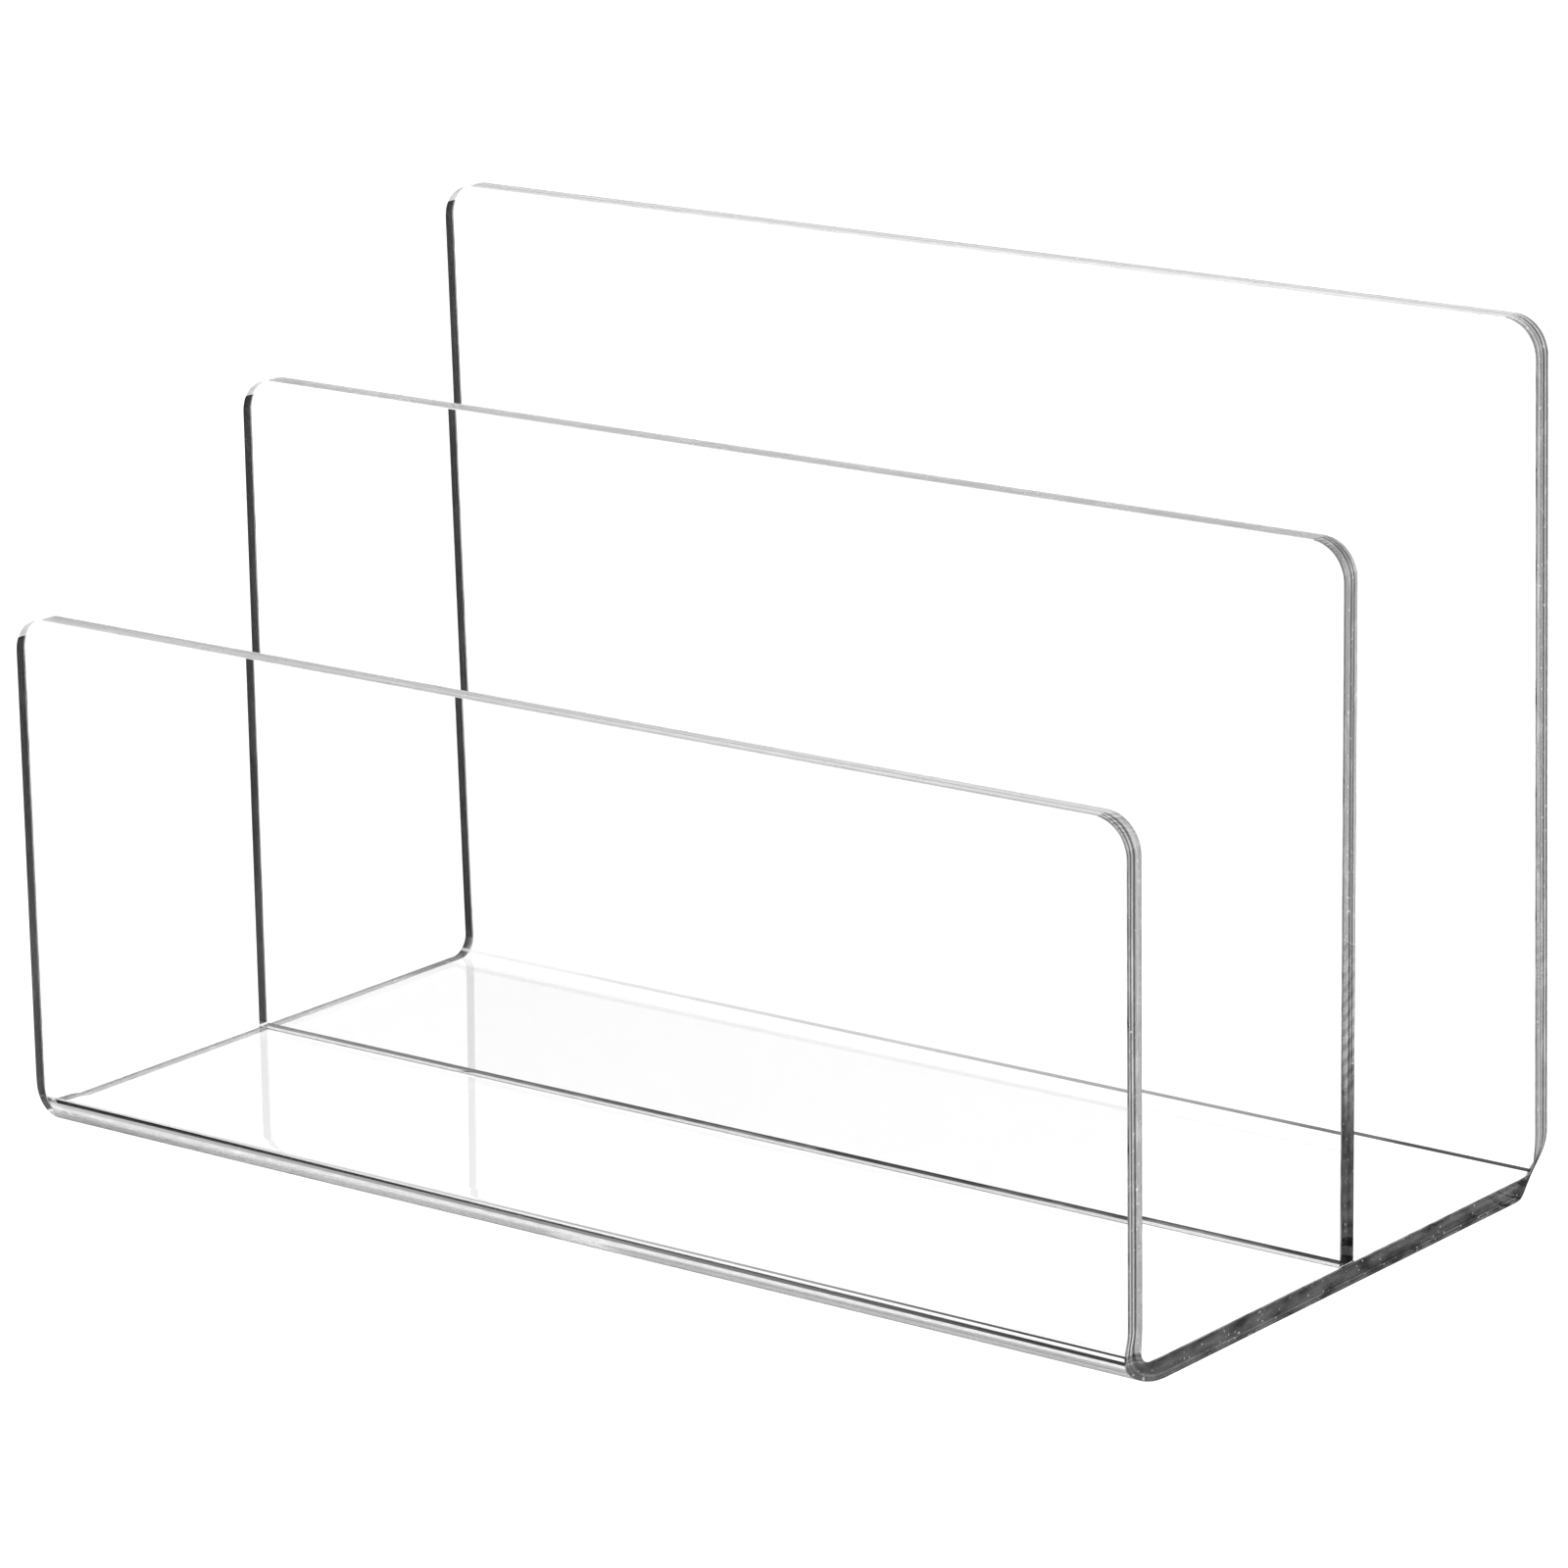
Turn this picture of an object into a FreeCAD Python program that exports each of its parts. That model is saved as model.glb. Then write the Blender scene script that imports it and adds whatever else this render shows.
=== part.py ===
# Clear desktop file sorter with two pockets and three stepped uprights, in millimetres.
#
# +Z is up and +X runs along the sorter's length. The origin is the middle of the footprint, on the surface
# that the sorter stands on. The low front wall faces -Y and the high back wall is on the +Y side.
#
# The front wall, the base and the back wall are one sheet with two hot-bent folds along X. The divider is a
# flat plate that stands on the base, and a bead of clear cement along its foot holds it there.
import FreeCAD, Part
import math
import os

# Driving dimensions
LENGTH = 305.0  # along X, the sheet's width before bending
DEPTH = 161.5  # along Y, over both bends
SHEET = 5.0  # thickness of the sheet and of the divider
FRONT_HEIGHT = 121.5
DIVIDER_HEIGHT = 162.5
BACK_HEIGHT = 197.0
BACK_LEAN = math.radians(1.35)  # the back wall tips towards the front
CORNER_RADIUS = 8.5  # top corners of all three uprights
BEND_INSIDE_RADIUS = 3.0
BEND_OUTSIDE_RADIUS = 11.0  # more than inside radius plus thickness, because a bend stretches thinner
CEMENT_FILM = 0.2  # cement between the base and the divider's foot
CEMENT_LEG = 0.4  # the cement's corner bead, out along the base and up the divider

FRONT_FACE = -DEPTH / 2
REAR_BEND_CENTRE = DEPTH / 2 - BEND_OUTSIDE_RADIUS


def section_point(y, z):
    """A point of a cross-section, on the plane of the sorter's left end."""
    return FreeCAD.Vector(-LENGTH / 2, y, z)


def rounded_outline(corners):
    """A closed wire through (point, radius) corners, with a tangent arc at each corner whose radius isn't 0."""
    runs = []
    count = len(corners)
    for index, (corner, radius) in enumerate(corners):
        before = (corners[index - 1][0] - corner).normalize()
        after = (corners[(index + 1) % count][0] - corner).normalize()
        if radius == 0:
            runs.append((corner, None, corner))
            continue
        half_angle = before.getAngle(after) / 2
        reach = radius / math.tan(half_angle)
        inward = (before + after).normalize()
        middle = corner + inward * (radius / math.sin(half_angle) - radius)
        runs.append((corner + before * reach, middle, corner + after * reach))
    edges = []
    for index, (start, middle, end) in enumerate(runs):
        if middle is not None:
            edges.append(Part.Arc(start, middle, end).toShape())
        edges.append(Part.LineSegment(end, runs[(index + 1) % count][0]).toShape())
    return Part.Wire(edges)


def extruded(outline, length):
    """The solid that an outline sweeps along +X."""
    return Part.Face(outline).extrude(FreeCAD.Vector(length, 0, 0))


def back_wall_lines():
    """The back wall's upward and outward directions, and where its outer face meets z = 0."""
    up = FreeCAD.Vector(0, -math.sin(BACK_LEAN), math.cos(BACK_LEAN))
    outward = FreeCAD.Vector(0, math.cos(BACK_LEAN), math.sin(BACK_LEAN))
    tangent_point = section_point(REAR_BEND_CENTRE, BEND_OUTSIDE_RADIUS) + outward * BEND_OUTSIDE_RADIUS
    outer_foot = tangent_point - up * (tangent_point.z / up.z)
    return up, outward, outer_foot


def back_inner_face(z):
    """The Y of the back wall's inner face at height z."""
    up, outward, outer_foot = back_wall_lines()
    inner_foot = outer_foot - outward * SHEET
    return inner_foot.y + up.y / up.z * (z - inner_foot.z)


def with_round_top_corners(solid, is_top):
    """Rounds the short edges that run through the thickness at both ends of an upright's top edge."""
    corners = []
    for edge in solid.Edges:
        ends = [vertex.Point for vertex in edge.Vertexes]
        at_one_end = all(abs(abs(point.x) - abs(ends[0].x)) < 1e-6 for point in ends)
        crosses = abs(ends[0].x - ends[-1].x) < 1e-6
        if at_one_end and crosses and all(is_top(point) for point in ends):
            corners.append(edge)
    return solid.makeFillet(CORNER_RADIUS, corners)


def bent_sheet():
    """Front wall, base and back wall: one sheet, folded up twice."""
    up, outward, outer_foot = back_wall_lines()
    outer_top = outer_foot + up * (BACK_HEIGHT / up.z)
    inner_top = outer_top - outward * SHEET
    outline = rounded_outline([
        (section_point(FRONT_FACE, FRONT_HEIGHT), 0),
        (section_point(FRONT_FACE, 0), BEND_OUTSIDE_RADIUS),
        (outer_foot, BEND_OUTSIDE_RADIUS),
        (outer_top, 0),
        (inner_top, 0),
        (section_point(back_inner_face(SHEET), SHEET), BEND_INSIDE_RADIUS),
        (section_point(FRONT_FACE + SHEET, SHEET), BEND_INSIDE_RADIUS),
        (section_point(FRONT_FACE + SHEET, FRONT_HEIGHT), 0),
    ])

    def is_top(point):
        """Whether a point is on the top edge of the front wall, or of the back wall."""
        wall_height = FRONT_HEIGHT if point.y < 0 else BACK_HEIGHT
        return point.z > wall_height - SHEET

    return with_round_top_corners(extruded(outline, LENGTH), is_top)


def divider_front_face():
    """The Y of the divider's front face: it stands halfway between the two walls' inner faces at the base."""
    clear_depth = back_inner_face(SHEET) - (FRONT_FACE + SHEET)
    pocket = (clear_depth - SHEET) / 2
    return FRONT_FACE + SHEET + pocket


def middle_divider():
    """A flat plate on edge, as long as the sheet, with square lower corners and rounded upper ones."""
    foot = SHEET + CEMENT_FILM
    plate = Part.makeBox(LENGTH, SHEET, DIVIDER_HEIGHT - foot, section_point(divider_front_face(), foot))
    return with_round_top_corners(plate, lambda point: point.z > DIVIDER_HEIGHT - SHEET)


def cement_bead():
    """The cement under the divider, with a small sloping bead along each side of its foot."""
    front = divider_front_face()
    rear = front + SHEET
    profile = [
        (front - CEMENT_LEG, SHEET),
        (rear + CEMENT_LEG, SHEET),
        (rear, SHEET + CEMENT_LEG),
        (rear, SHEET + CEMENT_FILM),
        (front, SHEET + CEMENT_FILM),
        (front, SHEET + CEMENT_LEG),
    ]
    return extruded(rounded_outline([(section_point(y, z), 0) for y, z in profile]), LENGTH)


os.makedirs("parts", exist_ok=True)
for make_part in (bent_sheet, middle_divider, cement_bead):
    shape = make_part()
    shape.exportStep(f"parts/{make_part.__name__}.step")
    print(f"{make_part.__name__}: {len(shape.Solids)} solid, {shape.Volume / 1000:.2f} cm3, {shape.BoundBox}")
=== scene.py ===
# Looks for the clear desktop file sorter, in metres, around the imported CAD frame.
#
# Each plate is one closed shell: two faces, and an edge band that runs all the way round it with a small
# rounded arris along each side. Rows of vertices follow the plate's section, so the folded sheet and the flat
# divider come from the same function.
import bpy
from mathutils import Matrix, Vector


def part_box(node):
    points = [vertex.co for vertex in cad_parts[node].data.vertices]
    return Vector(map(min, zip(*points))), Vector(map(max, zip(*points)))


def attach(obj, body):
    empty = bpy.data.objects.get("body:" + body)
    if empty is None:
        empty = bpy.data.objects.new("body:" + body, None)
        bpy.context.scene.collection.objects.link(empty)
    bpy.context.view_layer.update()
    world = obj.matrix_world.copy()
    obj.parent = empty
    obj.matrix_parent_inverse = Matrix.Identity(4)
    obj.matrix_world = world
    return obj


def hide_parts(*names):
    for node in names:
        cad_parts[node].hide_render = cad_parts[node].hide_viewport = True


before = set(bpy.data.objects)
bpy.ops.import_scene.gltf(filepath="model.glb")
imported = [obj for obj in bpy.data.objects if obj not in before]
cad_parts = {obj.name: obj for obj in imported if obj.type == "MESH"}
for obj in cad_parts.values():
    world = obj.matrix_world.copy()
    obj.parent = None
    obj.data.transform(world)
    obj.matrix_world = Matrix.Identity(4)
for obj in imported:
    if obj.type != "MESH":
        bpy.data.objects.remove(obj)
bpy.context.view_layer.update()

import math
from collections import namedtuple

import bmesh
import bpy
from mathutils import Matrix, Vector

MM = 0.001

# The pieces, as part.py draws them
sheet_low, sheet_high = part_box("bent_sheet")
divider_low, divider_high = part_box("middle_divider")
bead_low, bead_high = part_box("cement_bead")
SHEET = divider_high.y - divider_low.y
FRONT_HEIGHT = 121.5 * MM
BACK_LEAN = math.radians(1.35)
CORNER_RADIUS = 8.5 * MM
BEND_INSIDE_RADIUS = 3 * MM
BEND_OUTSIDE_RADIUS = 11 * MM

# Finish of the cut edges
ARRIS = 0.24 * MM  # radius of the rounded arris along each side of an edge
CROWN = 0.06 * MM  # how far flame polishing leaves the middle of an edge proud
FOOT_CORNER = 0.5 * MM  # the divider's lower corners are square apart from this

# How the hot bends differ from the drawn section. Each pinch is for the end x > 0, then for the end x < 0.
FAR_INSIDE_RADIUS = 5 * MM  # the bends are rounder inside at the end x < 0
BEND_ZONE = 14 * MM  # how far from the corner the heated strip reaches, along the base and up the wall
FRONT_PINCH = (2.15 * MM, 0.5 * MM)  # how far a bend draws the sheet's end in, at its outer surface
REAR_PINCH = (2.3 * MM, 0.5 * MM)
NO_PINCH = (0, 0)
INNER_PINCH_SHARE = 0.15  # and at its inner surface, as a share of that

# Cement. Fullness is a bead's size as a share of the drawn one.
FRONT_FULLNESS = 0.3
REAR_FULLNESS = 1
JOINT_GAP = 0.01 * MM  # keeps the cement's surfaces off its neighbours'

# Steps of the meshes
CORNER_STEPS = 20
BEND_STEPS = 36
ARRIS_STEPS = 4
CROWN_STEPS = 6
STRIPS = 2 * ARRIS_STEPS + CROWN_STEPS  # strips across an edge, from the outer face to the inner one
RING = STRIPS + 1  # vertices across an edge
COLUMNS = 16  # strips of a face along x, between the edges at the two ends
ROW_SIZE = 2 * RING + 2 * (COLUMNS - 1)  # vertices of a row: two edges, and what lies between on two faces
BEAD_STEPS = 120
BEAD_CURVE_STEPS = 5
BEAD_SIDE = BEAD_CURVE_STEPS + 2  # vertices of the cement's section on each side of the divider
BEAD_RING = 2 * BEAD_SIDE

# Material slots
FACE, EDGE, NEAR_EDGE, FAR_EDGE, HAZE, RIM, SHADE_LINE = range(7)  # of a plate
BEAD, FILM = range(2)  # of the cement
FRONT_LINES = {14: SHADE_LINE, 17: SHADE_LINE, 18: SHADE_LINE, 19: HAZE, 20: HAZE, 21: HAZE}  # inside the bend, by step: painted dark lines of shade, and cloudy acrylic
# painted dark lines of shade inside the rear bend too
REAR_LINES = {16: SHADE_LINE, 17: SHADE_LINE}
FOOT_SHADE_STRIPS = ARRIS_STEPS + 3  # strips of the divider's foot, from its rear face on, that carry a painted dark line of shade
TOP_SLOTS = [EDGE] * STRIPS
FOOT_SLOTS = [SHADE_LINE] * FOOT_SHADE_STRIPS + [FACE] * (STRIPS - FOOT_SHADE_STRIPS)
TOP_SIDEWAYS = 0.1  # an edge that faces along x less than this is at the plate's top or foot
END_SIDEWAYS = 0.9  # one that faces along x more than this is at an end, and corners lie between
UPRIGHT_RISE = 0.5  # the run of an upright is steeper than this

# Acrylic
ACRYLIC_IOR = 1.49
SURFACE_TINT = 0.995
BODY_TINT = 0.91
BODY_DENSITY = 2.0  # of the body's tint, per metre
WAVE_HEIGHT = 0.01 * MM  # of the waves in a face, and of hazy acrylic
STREAK_HEIGHT = 0.003 * MM

# Noise: features per metre along each axis. On an edge the axes are x, the depth and the run.
FACE_SMEARS = (30, 30, 30)
FACE_WAVES = (14, 14, 14)
CLOUDS = (300, 300, 300)
# patches in the painted shade of the arrises and the cement, and along the painted dark lines
ARRIS_PATCHES = (220, 220, 220)
LINE_UNEVENNESS = (60, 60, 60)
# the uneven border of the painted reflection of the desk on the sawn ends
REFLECTION_BORDER = (90, 500, 60)
STREAKS = (3, 900, 3)
SCRATCHES = (2, 2300, 2)
MOTTLE = (130, 300, 130)
CHIPS = (1300, 1300, 1300)
RIDGE_WAVER = (8, 0, 8)
NOISE_LOW = 0.3  # noise seldom goes below this
NOISE_HIGH = 0.7  # or above this

# Stage
MOST_REFLECTIONS = 10  # the count at the end of the ramp that tells reflections apart
FEW_FROM = 2  # reflections that count as a few
MANY_FROM = 7  # and as many
FLOOR_REACH = 30
FLOOR_GAP = 0.2 * MM  # between the floor and the sorter's underside


# ---------------------------------------------------------------- sections

# One row of a plate, across its length. outer and inner are its two surface points in the plane x = 0,
# outer_run and inner_run the directions in which the section goes on from there. sideways and lengthways
# give the direction that the edge faces: out along x, and along the run. bend is how far through a bend the
# row lies, from 0 to 1. pinches are how far the bend draws each end in, and slope_length is the bend's outer
# length. inner_slot is the material slot of the inner face from this row to the next.
Row = namedtuple("Row", (
    "outer inner outer_run inner_run half_length sideways lengthways "
    "bend pinches slope_length inner_slot"
))


def section(y, z):
    """A point or a direction of a section, in the plane x = 0."""
    return Vector((0, y, z))


def right_of(run):
    """The unit direction to the right of a run, which is the outer side of the sheet."""
    return section(run.z, -run.y)


def around_bend(start, corner, end, radius, share):
    """The point at a share of the way along a path with a rounded corner, and the path's direction there."""
    before = (corner - start).normalized()
    after = (end - corner).normalized()
    turn = before.angle(after)
    reach = radius * math.tan(turn / 2)
    lead_in = (corner - start).length - reach
    arc = radius * turn
    lead_out = (end - corner).length - reach
    distance = share * (lead_in + arc + lead_out)
    if distance <= lead_in:
        return start + before * distance, before
    if distance >= lead_in + arc:
        return end - after * (lead_in + arc + lead_out - distance), after
    angle = (distance - lead_in) / radius
    inwards = -right_of(before)
    centre = corner - before * reach + inwards * radius
    run = before * math.cos(angle) + inwards * math.sin(angle)
    return centre + right_of(run) * radius, run


def bend_rows(outer_path, inner_path, inside_radius, half_length, pinches, lines):
    """Rows through a bend. Each path is a start, a corner and an end. lines has the slots of some steps."""
    straight = sum((b - a).length for a, b in zip(outer_path, outer_path[1:])) - 2 * BEND_OUTSIDE_RADIUS
    outer_length = straight + BEND_OUTSIDE_RADIUS * math.pi / 2
    rows = []
    for step in range(BEND_STEPS + 1):
        share = step / BEND_STEPS
        outer, outer_run = around_bend(*outer_path, BEND_OUTSIDE_RADIUS, share)
        inner, inner_run = around_bend(*inner_path, inside_radius, share)
        rows.append(Row(
            outer, inner, outer_run, inner_run, half_length, 1, 0, share, pinches, outer_length,
            lines.get(step, FACE)
        ))
    return rows


def corner_rows(outer, inner, run, radius, half_length, begins):
    """Rows round the two corners where a plate begins or ends. Its edge goes through outer and inner."""
    rows = []
    for step in range(CORNER_STEPS + 1):
        angle = math.pi / 2 * step / CORNER_STEPS
        into_plate = run * (radius * (1 - math.cos(angle))) * (1 if begins else -1)
        rows.append(Row(
            outer + into_plate, inner + into_plate, run, run,
            half_length - radius * (1 - math.sin(angle)),
            math.sin(angle), -math.cos(angle) if begins else math.cos(angle),
            0, NO_PINCH, 1, FACE
        ))
    return rows if begins else rows[::-1]


def folded_sheet_rows(inside_radius):
    """The front wall from its top down, the front bend, the base, the rear bend and the back wall up."""
    half_length = sheet_high.x
    front = sheet_low.y
    rear_centre = sheet_high.y - BEND_OUTSIDE_RADIUS
    down = section(0, -1)
    up = section(-math.sin(BACK_LEAN), math.cos(BACK_LEAN))
    outward = right_of(up)
    bend_top = section(rear_centre, BEND_OUTSIDE_RADIUS) + outward * BEND_OUTSIDE_RADIUS
    outer_foot = bend_top - up * (bend_top.z / up.z)
    inner_foot = outer_foot - outward * SHEET
    inner_foot += up * ((SHEET - inner_foot.z) / up.z)
    outer_top = outer_foot + up * (sheet_high.z / up.z)
    inner_top = outer_top - outward * SHEET

    front_top = section(front, FRONT_HEIGHT)
    thickness = section(SHEET, 0)
    rows = corner_rows(front_top, front_top + thickness, down, CORNER_RADIUS, half_length, True)
    rows += bend_rows(
        (section(front, BEND_ZONE), section(front, 0), section(front + BEND_ZONE, 0)),
        (section(front + SHEET, BEND_ZONE), section(front + SHEET, SHEET), section(front + BEND_ZONE, SHEET)),
        inside_radius, half_length, FRONT_PINCH, FRONT_LINES,
    )
    zone_end = outer_foot + up * BEND_ZONE
    zone_start = section(outer_foot.y - BEND_ZONE, 0)
    rows += bend_rows(
        (zone_start, outer_foot, zone_end),
        (zone_start + section(0, SHEET), inner_foot, zone_end - outward * SHEET),
        inside_radius, half_length, REAR_PINCH, REAR_LINES,
    )
    return rows + corner_rows(outer_top, inner_top, up, CORNER_RADIUS, half_length, False)


def divider_rows():
    """The divider from its foot up."""
    up = section(0, 1)
    half_length = divider_high.x
    rear, front = divider_high.y, divider_low.y
    foot, top = divider_low.z, divider_high.z
    rows = corner_rows(section(rear, foot), section(front, foot), up, FOOT_CORNER, half_length, True)
    return rows + corner_rows(section(rear, top), section(front, top), up, CORNER_RADIUS, half_length, False)


# ------------------------------------------------------------------ meshes

def edge_profile(thickness):
    """Points across an edge from the outer face to the inner one: inset, depth and the angle it faces."""
    arris = [math.pi / 2 * step / ARRIS_STEPS for step in range(ARRIS_STEPS + 1)]
    flat = thickness - 2 * ARRIS
    profile = []
    for angle in arris[:-1]:
        profile.append((CROWN + ARRIS * (1 - math.sin(angle)), ARRIS * (1 - math.cos(angle)), angle))
    for step in range(CROWN_STEPS + 1):
        share = step / CROWN_STEPS
        tilt = math.atan(CROWN * math.pi / flat * math.cos(math.pi * share))
        profile.append((CROWN * (1 - math.sin(math.pi * share)), ARRIS + flat * share, math.pi / 2 - tilt))
    for angle in arris[-2::-1]:
        profile.append((
            CROWN + ARRIS * (1 - math.sin(angle)), thickness - ARRIS * (1 - math.cos(angle)), math.pi - angle
        ))
    return profile


def pinch(row, side, depth):
    """How far a bend draws in the sheet's end at this depth (0 outer, 1 inner), with its slopes along the run
    and through the thickness."""
    bulge = math.sin(math.pi * row.bend) ** 2
    outermost = row.pinches[0 if side > 0 else 1]
    innermost = outermost * INNER_PINCH_SHARE
    most = outermost + (innermost - outermost) * depth
    along = most * math.pi / row.slope_length * math.sin(2 * math.pi * row.bend)
    through = (innermost - outermost) * bulge / (row.inner - row.outer).length
    return most * bulge, along, through


def edge_vertex(row, side, inset, depth, angle):
    """Place and normal of one vertex of the edge band, on the side x > 0 (side 1) or x < 0 (side -1)."""
    thickness = (row.inner - row.outer).length
    share = depth / thickness
    run = row.outer_run.lerp(row.inner_run, share).normalized()
    drawn_in, slope_along, slope_through = pinch(row, side, share)
    across = Vector((side, 0, 0))
    centre = row.outer.lerp(row.inner, share)
    reach = row.half_length - drawn_in - inset * row.sideways
    place = centre + across * reach - run * (inset * row.lengthways)
    face_normal = right_of(row.outer_run if angle < math.pi / 2 else row.inner_run)
    edge_normal = across * row.sideways + run * row.lengthways
    edge_normal += run * slope_along - face_normal * slope_through
    normal = face_normal * math.cos(angle) + edge_normal.normalized() * math.sin(angle)
    return place, normal.normalized()


def across_face(near_vertex, far_vertex):
    """Places and normals of the vertices of a row on one face, between the edges at x > 0 and at x < 0."""
    near_place, near_normal = near_vertex
    far_place, far_normal = far_vertex
    vertices = []
    for column in range(1, COLUMNS):
        share = column / COLUMNS
        normal = near_normal.lerp(far_normal, share).normalized()
        vertices.append((near_place.lerp(far_place, share), normal))
    return vertices


def plate_vertices(near_rows, far_rows):
    """Places and normals of a plate's vertices, row by row: the edge at x > 0, the edge at x < 0, the outer
    face, the inner face. The marks say how far along the run and how deep each vertex lies."""
    vertices = []
    marks = []
    length = 0
    for index, (near, far) in enumerate(zip(near_rows, far_rows)):
        if index > 0:
            length += (near.outer - near_rows[index - 1].outer).length
        ends = []
        for row, side in ((near, 1), (far, -1)):
            profile = edge_profile((row.inner - row.outer).length)
            ends.append([edge_vertex(row, side, inset, depth, angle) for inset, depth, angle in profile])
            marks += [(length, depth) for inset, depth, angle in profile]
        faces = across_face(ends[0][0], ends[1][0]) + across_face(ends[0][-1], ends[1][-1])
        vertices += ends[0] + ends[1] + faces
        marks += [(length, 0)] * len(faces)
    return vertices, marks


def edge_at(index, side, point):
    """The number of a row's vertex at a point across its edge, at side 0 (x > 0) or side 1 (x < 0)."""
    return index * ROW_SIZE + side * RING + point


def face_at(index, inner, column):
    """The number of a row's vertex at a column of its outer face (inner 0) or its inner one (inner 1)."""
    if column in (0, COLUMNS):
        return edge_at(index, 0 if column == 0 else 1, STRIPS if inner else 0)
    return index * ROW_SIZE + 2 * RING + inner * (COLUMNS - 1) + column - 1


def edge_slot(row, side, point):
    """The slot of the edge's strip that follows a point, at side 0 (x > 0) or side 1 (x < 0)."""
    if side == 1 and row.sideways < END_SIDEWAYS:
        return HAZE
    if row.sideways < TOP_SIDEWAYS:
        return EDGE
    # The arris strips of an end are painted dark, as painted shade.
    if point < ARRIS_STEPS or point >= STRIPS - ARRIS_STEPS:
        return RIM
    if side == 0:
        return NEAR_EDGE
    return FAR_EDGE if abs(row.outer_run.z) > UPRIGHT_RISE else EDGE


def faces_after(rows, here):
    """The quads from one row to the next, each with its slot: first of both faces, then of both edges."""
    ahead = here + 1
    faces = []
    for inner in (0, 1):
        slot = rows[here].inner_slot if inner else FACE
        for column in range(COLUMNS):
            quad = [
                face_at(here, inner, column), face_at(here, inner, column + 1),
                face_at(ahead, inner, column + 1), face_at(ahead, inner, column),
            ]
            faces.append((quad[::-1] if inner else quad, slot))
    for point in range(STRIPS):
        for side in (0, 1):
            quad = [
                edge_at(here, side, point), edge_at(ahead, side, point),
                edge_at(ahead, side, point + 1), edge_at(here, side, point + 1),
            ]
            faces.append((quad[::-1] if side else quad, edge_slot(rows[here], side, point)))
    return faces


def closing_faces(index, slots, is_last):
    """The polygons, each with its slot, of the edge along the plate's first or last row."""
    near = [edge_at(index, 0, point) for point in range(RING)]
    far = [edge_at(index, 1, point) for point in range(RING)]
    faces = []
    for point in range(1, STRIPS - 1):
        quad = [near[point], near[point + 1], far[point + 1], far[point]]
        faces.append((quad[::-1] if is_last else quad, slots[point]))
    for inner, beside, slot in ((0, 1, slots[0]), (1, STRIPS - 1, slots[-1])):
        strip = [face_at(index, inner, column) for column in range(COLUMNS + 1)]
        strip = [near[beside]] + strip + [far[beside]]
        faces.append((strip[::-1] if is_last == bool(inner) else strip, slot))
    return faces


def plate_mesh(name, near_rows, far_rows, first_slots):
    """A closed shell with exact normals. Its section goes from near_rows at the end x > 0 to far_rows at the
    end x < 0. first_slots are for the strips, outer to inner, of the edge along the first row."""
    vertices, marks = plate_vertices(near_rows, far_rows)
    faces = []
    for here in range(len(near_rows) - 1):
        faces += faces_after(near_rows, here)
    faces += closing_faces(0, first_slots, False)
    faces += closing_faces(len(near_rows) - 1, TOP_SLOTS, True)

    mesh = bpy.data.meshes.new(name)
    mesh.from_pydata([place for place, normal in vertices], [], [face for face, slot in faces])
    mesh.polygons.foreach_set("material_index", [slot for face, slot in faces])
    mesh.polygons.foreach_set("use_smooth", [True] * len(faces))
    layer = mesh.uv_layers.new(name="edge_run")
    for loop in mesh.loops:
        layer.data[loop.index].uv = marks[loop.vertex_index]
    mesh.normals_split_custom_set_from_vertices([normal for place, normal in vertices])
    mesh.validate()
    return mesh


def bead_side(along, wall, away, fullness, phase):
    """One side of the cement's outline at a share of its length: a hollow bead, then up to the divider's
    foot. The bead grows towards the end x > 0, and wavers as one run by hand does."""
    base_top = sheet_low.z + SHEET
    swell = 0.5 + 0.35 * along
    long_wave = 0.1 * math.sin(23 * along + phase)
    short_wave = 0.05 * math.sin(71 * along + 3 * phase)
    size = (bead_high.z - base_top) * fullness * (swell + long_wave + short_wave)
    outline = []
    for step in range(BEAD_CURVE_STEPS + 1):
        angle = math.pi / 2 * step / BEAD_CURVE_STEPS
        out = size * (1 - math.sin(angle))
        rise = size * (1 - math.cos(angle))
        outline.append((wall + away * out, base_top + JOINT_GAP + rise))
    return outline + [(wall, divider_low.z - JOINT_GAP)]


def bead_mesh(name):
    """The cement under the divider, with a bead along each side of its foot."""
    places = []
    for step in range(BEAD_STEPS + 1):
        along = step / BEAD_STEPS
        x = bead_low.x + (bead_high.x - bead_low.x) * along
        front = bead_side(along, divider_low.y - JOINT_GAP, -1, FRONT_FULLNESS, phase=0.4)
        rear = bead_side(along, divider_high.y + JOINT_GAP, 1, REAR_FULLNESS, phase=2.1)
        places += [(x, y, z) for y, z in front + rear[::-1]]
    ends = [tuple(range(BEAD_RING))[::-1], tuple(range(BEAD_STEPS * BEAD_RING, len(places)))]
    sides = []
    slots = [BEAD] * len(ends)
    for step in range(BEAD_STEPS):
        for point in range(BEAD_RING):
            here = step * BEAD_RING + point
            beside = step * BEAD_RING + (point + 1) % BEAD_RING
            sides.append((here, beside, beside + BEAD_RING, here + BEAD_RING))
            slots.append(BEAD if BEAD_SIDE <= point < BEAD_RING - 1 else FILM)
    mesh = bpy.data.meshes.new(name)
    mesh.from_pydata(places, [], ends + sides)
    mesh.polygons.foreach_set("material_index", slots)
    shell = bmesh.new()
    shell.from_mesh(mesh)
    bmesh.ops.recalc_face_normals(shell, faces=shell.faces)
    shell.to_mesh(mesh)
    shell.free()
    mesh.shade_smooth()
    mesh.set_sharp_from_angle(angle=math.radians(35))
    return mesh


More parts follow.
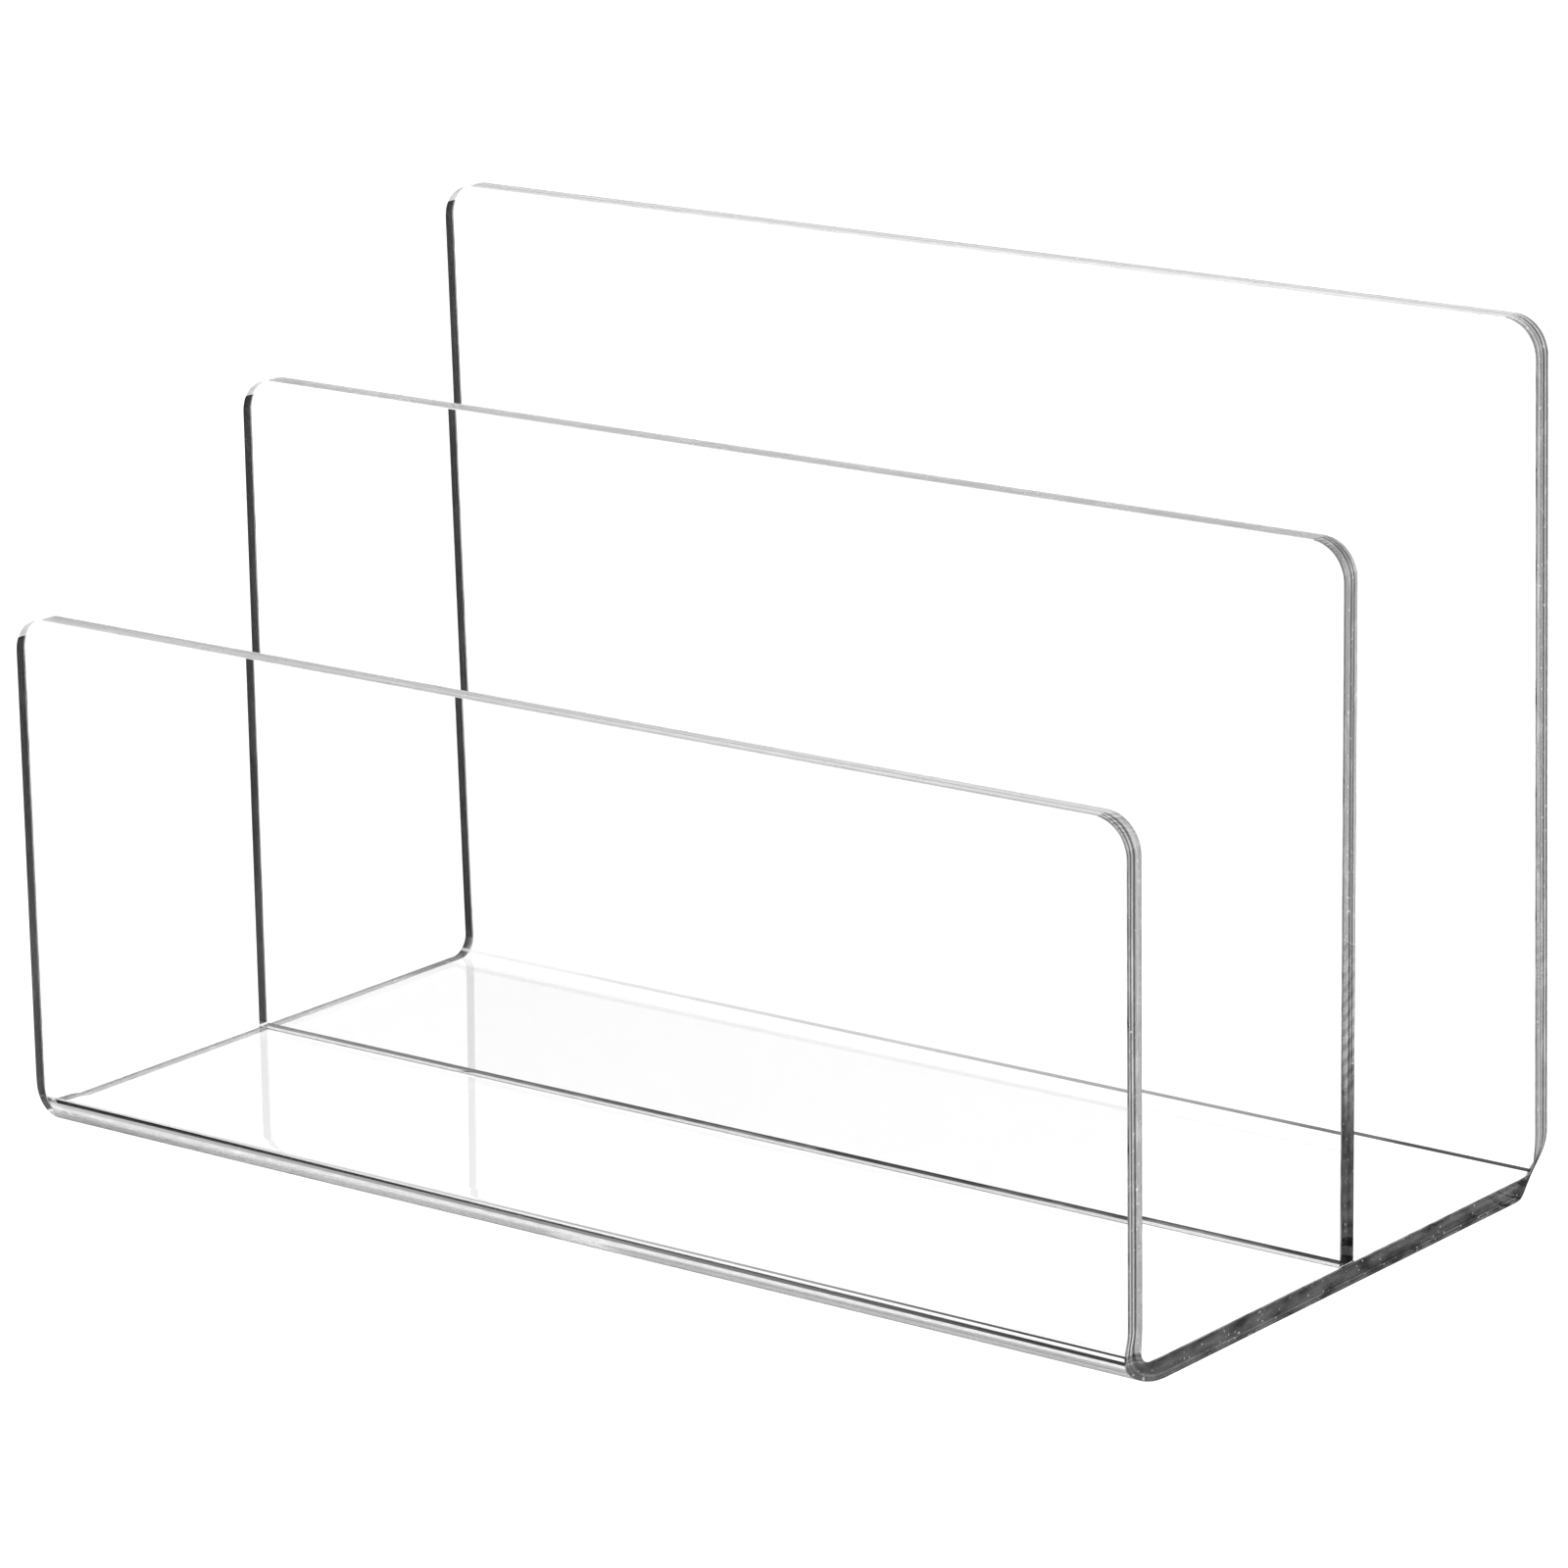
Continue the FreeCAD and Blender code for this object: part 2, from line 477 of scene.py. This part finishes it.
def show(name, mesh, materials, node):
    """A piece made of the mesh, in place of a CAD node. It is clear enough to cast no shadow."""
    piece = bpy.data.objects.new(name, mesh)
    bpy.context.scene.collection.objects.link(piece)
    for material in materials:
        mesh.materials.append(material)
    piece.visible_shadow = False
    piece.visible_diffuse = False
    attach(piece, "root")
    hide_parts(node)


# --------------------------------------------------------------- materials

def new_material(name):
    """A node material and its Principled shader."""
    material = bpy.data.materials.new(name)
    material.use_nodes = True
    return material, material.node_tree.nodes["Principled BSDF"]


def link(tree, *pairs):
    """Joins output, input pairs of sockets."""
    for output, socket in pairs:
        tree.links.new(output, socket)


def grain(tree, scale, detail, vector):
    """Noise with its own scale along each axis of the vector."""
    stretch = tree.nodes.new("ShaderNodeMapping")
    stretch.inputs["Scale"].default_value = scale
    noise = tree.nodes.new("ShaderNodeTexNoise")
    noise.inputs["Scale"].default_value = 1
    noise.inputs["Detail"].default_value = detail
    link(tree, (vector, stretch.inputs["Vector"]), (stretch.outputs["Vector"], noise.inputs["Vector"]))
    return noise.outputs["Fac"]


def levels(tree, value, low, high, start=NOISE_LOW, stop=NOISE_HIGH):
    """A value spread from low, at start and under, to high, at stop and over."""
    spread = tree.nodes.new("ShaderNodeMapRange")
    for name, level in (("From Min", start), ("From Max", stop), ("To Min", low), ("To Max", high)):
        spread.inputs[name].default_value = level
    link(tree, (value, spread.inputs["Value"]))
    return spread.outputs["Result"]


def combine(tree, operation, first, second=0):
    """The product, sum or such of two values. The second may be a number."""
    maths = tree.nodes.new("ShaderNodeMath")
    maths.operation = operation
    link(tree, (first, maths.inputs[0]))
    if isinstance(second, (int, float)):
        maths.inputs[1].default_value = second
    else:
        link(tree, (second, maths.inputs[1]))
    return maths.outputs[0]


def component(tree, vector, axis):
    """One component of a vector."""
    split = tree.nodes.new("ShaderNodeSeparateXYZ")
    link(tree, (vector, split.inputs[0]))
    return split.outputs[axis]


def bump(tree, height, distance, shader):
    """Gives the shader a relief of that depth."""
    relief = tree.nodes.new("ShaderNodeBump")
    relief.inputs["Strength"].default_value = 1
    relief.inputs["Distance"].default_value = distance
    link(tree, (height, relief.inputs["Height"]), (relief.outputs["Normal"], shader.inputs["Normal"]))


def grey(level):
    """A level as an opaque grey."""
    return (level, level, level, 1)


def grey_colour(tree, level, shader):
    """Makes a level the shader's base colour."""
    colour = tree.nodes.new("ShaderNodeCombineColor")
    for channel in ("Red", "Green", "Blue"):
        link(tree, (level, colour.inputs[channel]))
    link(tree, (colour.outputs["Color"], shader.inputs["Base Color"]))


def object_place(tree):
    """Where a point is on the sorter."""
    return tree.nodes.new("ShaderNodeTexCoord").outputs["Object"]


def edge_place(tree):
    """Where a point is on an edge: along x, through the thickness, and along the run of the rows."""
    run = tree.nodes.new("ShaderNodeUVMap")
    run.uv_map = "edge_run"
    joined = tree.nodes.new("ShaderNodeCombineXYZ")
    link(
        tree,
        (component(tree, object_place(tree), "X"), joined.inputs["X"]),
        (component(tree, run.outputs["UV"], "Y"), joined.inputs["Y"]),
        (component(tree, run.outputs["UV"], "X"), joined.inputs["Z"]),
    )
    return joined.outputs[0]


def acrylic(name, clearness=1.0):
    """Acrylic that refracts, with its very faint tint. clearness under 1 leaves a frosted share."""
    material, shader = new_material(name)
    tree = material.node_tree
    shader.inputs["Base Color"].default_value = grey(SURFACE_TINT)
    shader.inputs["Transmission Weight"].default_value = clearness
    shader.inputs["IOR"].default_value = ACRYLIC_IOR
    body = tree.nodes.new("ShaderNodeVolumeAbsorption")
    body.inputs["Color"].default_value = grey(BODY_TINT)
    body.inputs["Density"].default_value = BODY_DENSITY
    link(tree, (body.outputs["Volume"], tree.nodes["Material Output"].inputs["Volume"]))
    return material, shader


def clear_face(name):
    """A cast face: glass-smooth, with the slightest waves and smears."""
    material, shader = acrylic(name)
    tree = material.node_tree
    place = object_place(tree)
    smears = levels(tree, grain(tree, FACE_SMEARS, 3, place), 0.002, 0.012)
    link(tree, (smears, shader.inputs["Roughness"]))
    bump(tree, grain(tree, FACE_WAVES, 1, place), WAVE_HEIGHT, shader)
    return material


def edge_grain(tree, place):
    """Long streaks with fine dark scratches along them, and the mottle that breaks them up."""
    streaks = levels(tree, grain(tree, STREAKS, 1, place), 0.25, 0.9)
    scratches = levels(tree, grain(tree, SCRATCHES, 0, place), 0.1, 1, start=NOISE_LOW, stop=0.42)
    return combine(tree, "MULTIPLY", streaks, scratches), grain(tree, MOTTLE, 4, place)


def polished_edge(name, darkest, softness):
    """A flame-polished edge, clear but soft, with darker streaks."""
    material, shader = acrylic(name, clearness=0.97)
    tree = material.node_tree
    lines, mottle = edge_grain(tree, edge_place(tree))
    tone = combine(tree, "MULTIPLY", lines, levels(tree, mottle, 0.65, 1))
    grey_colour(tree, levels(tree, tone, darkest, 1, start=0, stop=1), shader)
    link(tree, (levels(tree, mottle, softness * 0.6, softness), shader.inputs["Roughness"]))
    bump(tree, lines, STREAK_HEIGHT, shader)
    return material


def hazy_corner(name):
    """Where heat leaves the acrylic a little cloudy: round a corner, and inside the front bend."""
    material, shader = acrylic(name, clearness=0.5)
    tree = material.node_tree
    cloud = grain(tree, CLOUDS, 3, object_place(tree))
    grey_colour(tree, levels(tree, cloud, 0.85, 1), shader)
    link(tree, (levels(tree, cloud, 0.3, 0.5), shader.inputs["Roughness"]))
    bump(tree, cloud, WAVE_HEIGHT, shader)
    return material


def painted_desk_reflection(tree, dark_up_to, clear_from, lowest):
    """Painted reflection of the desk: a level that is lowest near the desk and 1 above, with an uneven border
    between.
    """
    place = object_place(tree)
    band = clear_from - dark_up_to
    border = combine(tree, "MULTIPLY", grain(tree, REFLECTION_BORDER, 3, place), band)
    height = combine(tree, "ADD", component(tree, place, "Z"), border)
    return levels(tree, height, lowest, 1, start=dark_up_to + band / 2, stop=clear_from + band / 2)


def ridge_painted_shade(tree, place, depth):
    """Painted shading of a low ridge along the edge at this depth: a light line between two painted dark
    ones.
    """
    swing = 1 * MM  # how much the ridge wavers
    dark = 0.1
    waver = combine(tree, "MULTIPLY", grain(tree, RIDGE_WAVER, 2, place), swing)
    offset = combine(tree, "ADD", component(tree, place, "Y"), waver)
    away = combine(tree, "ABSOLUTE", combine(tree, "SUBTRACT", offset, depth + swing / 2))
    light = levels(tree, away, 1, dark, start=0.2 * MM, stop=0.45 * MM)
    beyond = levels(tree, away, dark, 1, start=0.7 * MM, stop=1 * MM)
    return combine(tree, "MAXIMUM", light, beyond)


def sawn_edge(name, dark_up_to, clear_from, lowest, ridge_depth):
    """A sawn edge, only half polished: streaky, with small bright chips, smeared near the desk and painted
    darker there, a painted reflection of the desk.
    """
    material, shader = acrylic(name, clearness=0.6)
    tree = material.node_tree
    place = edge_place(tree)
    lines, mottle = edge_grain(tree, place)
    # The colour is painted darker near the desk, a painted reflection of the desk.
    height = painted_desk_reflection(tree, dark_up_to, clear_from, lowest)

    def from_desk_up(near_desk, above):
        """One value near the desk and another above."""
        return levels(tree, height, near_desk, above, start=lowest, stop=1)

    patches = levels(tree, mottle, 0.15, 1, start=0.34, stop=0.66)
    # Mottled blotches show fully only in the painted dark near the desk.
    blotches = combine(tree, "MAXIMUM", patches, from_desk_up(near_desk=0, above=0.7))
    # The ridge is only painted: shade on each side of a light line, left out near the desk.
    ridge = ridge_painted_shade(tree, place, ridge_depth)
    ridge = combine(tree, "MAXIMUM", ridge, from_desk_up(near_desk=1, above=0))
    marks = combine(tree, "MULTIPLY", lines, ridge)
    tone = combine(tree, "MULTIPLY", combine(tree, "MULTIPLY", marks, blotches), height)
    chips = levels(tree, grain(tree, CHIPS, 0, place), 0, 0.4, start=0.74, stop=0.82)
    grey_colour(tree, combine(tree, "ADD", tone, chips), shader)
    smear = from_desk_up(near_desk=0.15, above=0.01)
    roughness = combine(tree, "MULTIPLY", smear, levels(tree, mottle, 0.5, 1.5))
    link(tree, (roughness, shader.inputs["Roughness"]))
    bump(tree, lines, STREAK_HEIGHT, shader)
    return material


def patchy_surface(name, darkest, lightest, clearness):
    """A narrow arris, or cement, with a patchy tone. Where it bends light away to all sides its colour is
    painted dark, as painted shade.
    """
    material, shader = acrylic(name, clearness)
    tree = material.node_tree
    patchiness = grain(tree, ARRIS_PATCHES, 2, object_place(tree))
    grey_colour(tree, levels(tree, patchiness, darkest, lightest), shader)
    link(tree, (levels(tree, patchiness, 0.03, 0.15), shader.inputs["Roughness"]))
    return material


def painted_shade_line(name, faintest, dark_from, roughest):
    """A painted dark line of shade in the base colour, faintest at the end x < 0 and dark from the place
    dark_from on.
    """
    darkest = 0.01
    faint_up_to = -130 * MM
    swing = 60 * MM  # how unevenly it fades, along x
    material, shader = acrylic(name, clearness=0.5)
    tree = material.node_tree
    place = object_place(tree)
    patchiness = grain(tree, LINE_UNEVENNESS, 3, place)
    spot = combine(tree, "ADD", component(tree, place, "X"), combine(tree, "MULTIPLY", patchiness, swing))
    grey_colour(tree, levels(tree, spot, faintest, darkest, start=faint_up_to, stop=dark_from), shader)
    link(tree, (levels(tree, patchiness, roughest / 4, roughest), shader.inputs["Roughness"]))
    return material


# ------------------------------------------------------------------- stage

def by_reflections(tree, direct, once, few, many):
    """A grey level chosen by how often the light was reflected on its way from here to the eye."""
    path = tree.nodes.new("ShaderNodeLightPath")
    ramp = tree.nodes.new("ShaderNodeValToRGB")
    ramp.color_ramp.interpolation = "CONSTANT"
    share = combine(tree, "MULTIPLY", path.outputs["Glossy Depth"], 1 / MOST_REFLECTIONS)
    link(tree, (share, ramp.inputs["Fac"]))
    stops = ramp.color_ramp.elements
    stops[0].position, stops[0].color = 0, grey(direct)
    stops[1].position, stops[1].color = 0.5 / MOST_REFLECTIONS, grey(once)
    stops.new((FEW_FROM - 0.5) / MOST_REFLECTIONS).color = grey(few)
    stops.new((MANY_FROM - 0.5) / MOST_REFLECTIONS).color = grey(many)
    return ramp.outputs["Color"]


def floor_material():
    """Pale matt floor. Reflected once or a few times it is dark, as in a studio where only the part behind
    the object is lit. Light that was reflected many times makes it bright again."""
    material, shader = new_material("pale_floor")
    tree = material.node_tree
    level = by_reflections(tree, direct=0.9, once=0.02, few=0.02, many=1.0)
    link(tree, (level, shader.inputs["Base Color"]))
    shader.inputs["Roughness"].default_value = 1
    shader.inputs["Specular IOR Level"].default_value = 0
    return material


def add_floor():
    """A wide floor, a hair below the sorter's underside."""
    reach = FLOOR_REACH
    height = sheet_low.z - FLOOR_GAP
    mesh = bpy.data.meshes.new("floor")
    corners = [(x * reach, y * reach, height) for x, y in ((-1, -1), (1, -1), (1, 1), (-1, 1))]
    mesh.from_pydata(corners, [], [(0, 1, 2, 3)])
    mesh.materials.append(floor_material())
    floor = bpy.data.objects.new("floor", mesh)
    bpy.context.scene.collection.objects.link(floor)


def add_lamp():
    """A soft lamp overhead. It lights the floor, and isn't seen in the acrylic."""
    lamp = bpy.data.objects.new("overhead", bpy.data.lights.new("overhead", "SUN"))
    lamp.data.energy = 1.65
    lamp.data.angle = math.radians(30)
    lamp.visible_glossy = False
    lamp.visible_transmission = False
    bpy.context.scene.collection.objects.link(lamp)


def add_studio():
    """A studio all round, bright at eye level and dimmer above."""
    world = bpy.data.worlds.new("studio")
    world.use_nodes = True
    bpy.context.scene.world = world
    tree = world.node_tree
    background = tree.nodes["Background"]
    place = tree.nodes.new("ShaderNodeTexCoord")
    height = tree.nodes.new("ShaderNodeValToRGB")
    link(tree, (component(tree, place.outputs["Generated"], "Z"), height.inputs["Fac"]))
    stops = height.color_ramp.elements
    stops[0].position, stops[0].color = 0.3, grey(1)
    stops[1].position, stops[1].color = 0.65, grey(0.6)
    level = by_reflections(tree, direct=0.9, once=0.6, few=0.06, many=0.86)
    mixed = tree.nodes.new("ShaderNodeMix")
    mixed.data_type = "RGBA"
    mixed.blend_type = "MULTIPLY"
    mixed.inputs["Factor"].default_value = 1
    link(
        tree,
        (level, mixed.inputs["A"]),
        (height.outputs["Color"], mixed.inputs["B"]),
        (mixed.outputs["Result"], background.inputs["Color"]),
    )
    background.inputs["Strength"].default_value = 1.67


def add_camera():
    """The camera that sees the sorter from the front right, a little above."""
    azimuth = math.radians(37.905)
    elevation = math.radians(15.2066)
    roll = math.radians(-0.92)
    distance = 1514.7 * MM
    aim = Vector((3.8, -0.65, 88.03)) * MM
    level_back = Vector((math.sin(azimuth), -math.cos(azimuth), 0))
    back = level_back * math.cos(elevation) + Vector((0, 0, math.sin(elevation)))
    camera = bpy.data.objects.new("camera", bpy.data.cameras.new("camera"))
    bpy.context.scene.collection.objects.link(camera)
    right = Vector((math.cos(azimuth), math.sin(azimuth), 0))
    up = back.cross(right)
    turned_right = right * math.cos(roll) + up * math.sin(roll)
    turned_up = up * math.cos(roll) - right * math.sin(roll)
    rotation = Matrix((turned_right, turned_up, back)).transposed().to_4x4()
    camera.matrix_world = Matrix.Translation(aim + back * distance) @ rotation
    camera.data.lens = 156.94
    camera.data.sensor_width = 36
    camera.data.clip_start = 0.01
    camera.data.clip_end = 100
    bpy.context.scene.camera = camera


def set_up_render():
    """Plain colours, and enough bounces for the light that acrylic traps."""
    most_bounces = 100
    scene = bpy.context.scene
    scene.view_settings.view_transform = "Standard"
    scene.cycles.max_bounces = most_bounces
    scene.cycles.min_light_bounces = most_bounces
    scene.cycles.glossy_bounces = most_bounces
    scene.cycles.transmission_bounces = most_bounces


# --------------------------------------------------------------------- run

face = clear_face("clear_face")
# The arris and the cement bead are painted nearly black, painted shade where they bend light away. The
# cement's film is only faintly tinted.
rim = patchy_surface("rounded_arris", darkest=0.004, lightest=0.2, clearness=0.85)
haze = hazy_corner("hazy_corner")
# Dark lines painted into the colour inside the bends and along the divider's foot: painted shade, faint
# towards the end x < 0.
crease = painted_shade_line("fold_crease_shade", faintest=0.8, dark_from=150 * MM, roughest=0.2)
foot_shade = painted_shade_line("foot_shade", faintest=0.2, dark_from=30 * MM, roughest=1)
sheet_edge = polished_edge("sheet_edge", darkest=0, softness=0.4)
plate_edge = polished_edge("plate_edge", darkest=0.7, softness=0.4)
far_edge = polished_edge("far_edge", darkest=0, softness=0.2)
# Both sawn ends are painted darker near the desk, a painted reflection of it: dark up to dark_up_to, clear
# from clear_from.
sheet_end = sawn_edge("sheet_end", dark_up_to=5 * MM, clear_from=9 * MM, lowest=0.2, ridge_depth=1.6 * MM)
plate_end = sawn_edge("plate_end", dark_up_to=34 * MM, clear_from=52 * MM, lowest=0.14, ridge_depth=2 * MM)
bead = patchy_surface("cement_bead", darkest=0.004, lightest=0.04, clearness=0.7)
film = patchy_surface("cement_film", darkest=0.8, lightest=1.0, clearness=1.0)

near_sheet_rows = folded_sheet_rows(BEND_INSIDE_RADIUS)
far_sheet_rows = folded_sheet_rows(FAR_INSIDE_RADIUS)
show(
    "sorter_sheet", plate_mesh("sorter_sheet", near_sheet_rows, far_sheet_rows, TOP_SLOTS),
    [face, sheet_edge, sheet_end, far_edge, haze, rim, crease], "bent_sheet"
)
show(
    "divider_plate", plate_mesh("divider_plate", divider_rows(), divider_rows(), FOOT_SLOTS),
    [face, plate_edge, plate_end, far_edge, haze, rim, foot_shade], "middle_divider"
)
show("cement_joint", bead_mesh("cement_joint"), [bead, film], "cement_bead")
add_floor()
add_lamp()
add_studio()
add_camera()
set_up_render()
